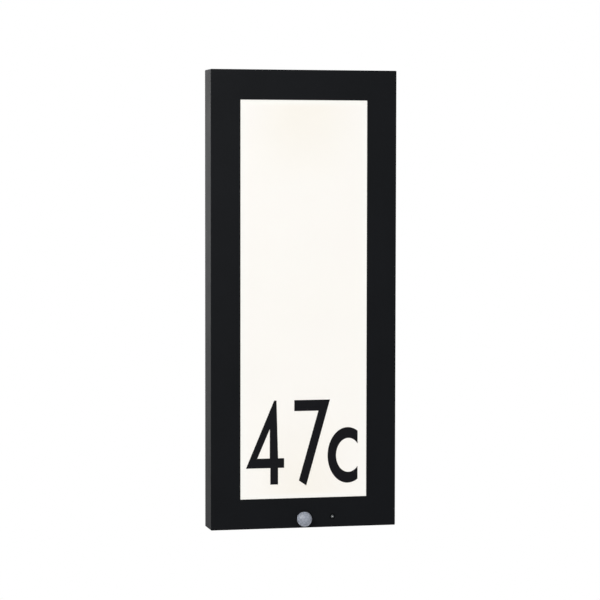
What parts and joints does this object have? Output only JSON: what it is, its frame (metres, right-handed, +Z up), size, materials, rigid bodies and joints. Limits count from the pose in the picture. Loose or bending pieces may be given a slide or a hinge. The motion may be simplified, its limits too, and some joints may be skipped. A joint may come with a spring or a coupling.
{
  "type": "illuminated house number sign",
  "caption": "Tall flat wall sign that lights an opal panel with a house number from behind its edges, with a motion sensor dome and a dusk sensor under the panel.",
  "frame": {"origin": "middle of the wall plate's back face, on the wall", "axes": "+X to the right of someone who reads the sign, +Z up, +Y into the wall, so the sign faces -Y"},
  "size_m": [0.171, 0.0364, 0.413],
  "materials": {
    "frame_coat": "fine satin powder coat, anthracite grey",
    "opal_acrylic": "satin opal acrylic",
    "figure_film": "matt black film",
    "clear_acrylic": "polished clear acrylic",
    "sensor_lens": "translucent grey polyethylene",
    "white_sheet": "matt white film",
    "galvanised_steel": "zinc-plated steel sheet",
    "screw_steel": "stainless steel",
    "aluminium_sheet": "mill finish aluminium sheet",
    "cover_plastic": "fine-grained black plastic",
    "seal_rubber": "soft black rubber",
    "white_plastic": "white moulded plastic",
    "black_plastic": "black moulded plastic",
    "brass": "turned brass",
    "circuit_green": "green circuit board",
    "circuit_white": "white circuit board",
    "chip_yellow": "clear resin over yellow phosphor",
    "winding_yellow": "yellow tape over a ferrite core",
    "capacitor_sleeve": "dark shrink sleeve",
    "wire_brown": "brown insulation",
    "wire_blue": "blue insulation",
    "wire_green": "green and yellow insulation",
    "wire_white": "white insulation",
    "wire_grey": "grey insulation",
    "dial_white": "white moulded plastic dial",
    "sensor_glass": "dark infrared window",
    "cell_orange": "light sensor face"
  },
  "bodies": {
    "wall": {"wall_plate": "galvanised_steel"},
    "sign": {"front_frame": "frame_coat", "grub_screws": "screw_steel", "opal_panel": "opal_acrylic", "panel_gasket": "seal_rubber", "light_guide": "clear_acrylic", "reflector_sheet": "white_sheet", "chassis_plate": "aluminium_sheet", "chassis_screws": "screw_steel", "led_board_left": "circuit_white", "led_board_right": "circuit_white", "led_chips_left": "chip_yellow", "led_chips_right": "chip_yellow", "number_four": "figure_film", "number_seven": "figure_film", "letter_c": "figure_film", "back_cover": "cover_plastic", "cover_gasket": "seal_rubber", "cover_screws": "screw_steel", "lid_gasket": "seal_rubber", "terminal_lid": "cover_plastic", "lid_screws": "screw_steel", "cable_grommet": "seal_rubber", "terminal_block": "white_plastic", "terminal_sleeves": "brass", "terminal_screws": "screw_steel", "block_screws": "screw_steel", "clamp_base": "white_plastic", "clamp_bar": "white_plastic", "clamp_screws": "screw_steel", "driver_case": "white_plastic", "driver_lid": "white_plastic", "driver_board": "circuit_green", "driver_transformer": "winding_yellow", "driver_capacitors": "capacitor_sleeve", "driver_headers": "white_plastic", "driver_screws": "screw_steel", "sensor_board": "circuit_green", "sensor_spacers": "white_plastic", "sensor_screws": "screw_steel", "pir_holder": "black_plastic", "pir_lens": "sensor_lens", "pir_detector": "screw_steel", "pir_filter": "sensor_glass", "photocell": "cell_orange", "light_pipe": "clear_acrylic", "trimmer_bodies": "wire_blue", "sensor_connector": "white_plastic", "earth_screw": "screw_steel", "earth_tag": "brass", "live_lead": "wire_brown", "neutral_lead": "wire_blue", "earth_lead": "wire_green", "sensor_lead": "wire_grey", "led_lead_left": "wire_white", "led_lead_right": "wire_white"},
    "time_setting": {"time_dial": "dial_white"},
    "dusk_setting": {"dusk_dial": "dial_white"}
  },
  "joints": [
    {"name": "pull_off", "type": "slide", "parent": "wall", "child": "sign", "axis": [0, -1, 0], "range_m": [0, 0.015]},
    {"name": "time_turn", "type": "hinge", "parent": "sign", "child": "time_setting", "pos_m": [-0.0175, -0.0129, -0.182], "axis": [0, 1, 0], "range_deg": [-135, 135]},
    {"name": "dusk_turn", "type": "hinge", "parent": "sign", "child": "dusk_setting", "pos_m": [-0.0065, -0.0129, -0.182], "axis": [0, 1, 0], "range_deg": [-135, 135]}
  ]
}
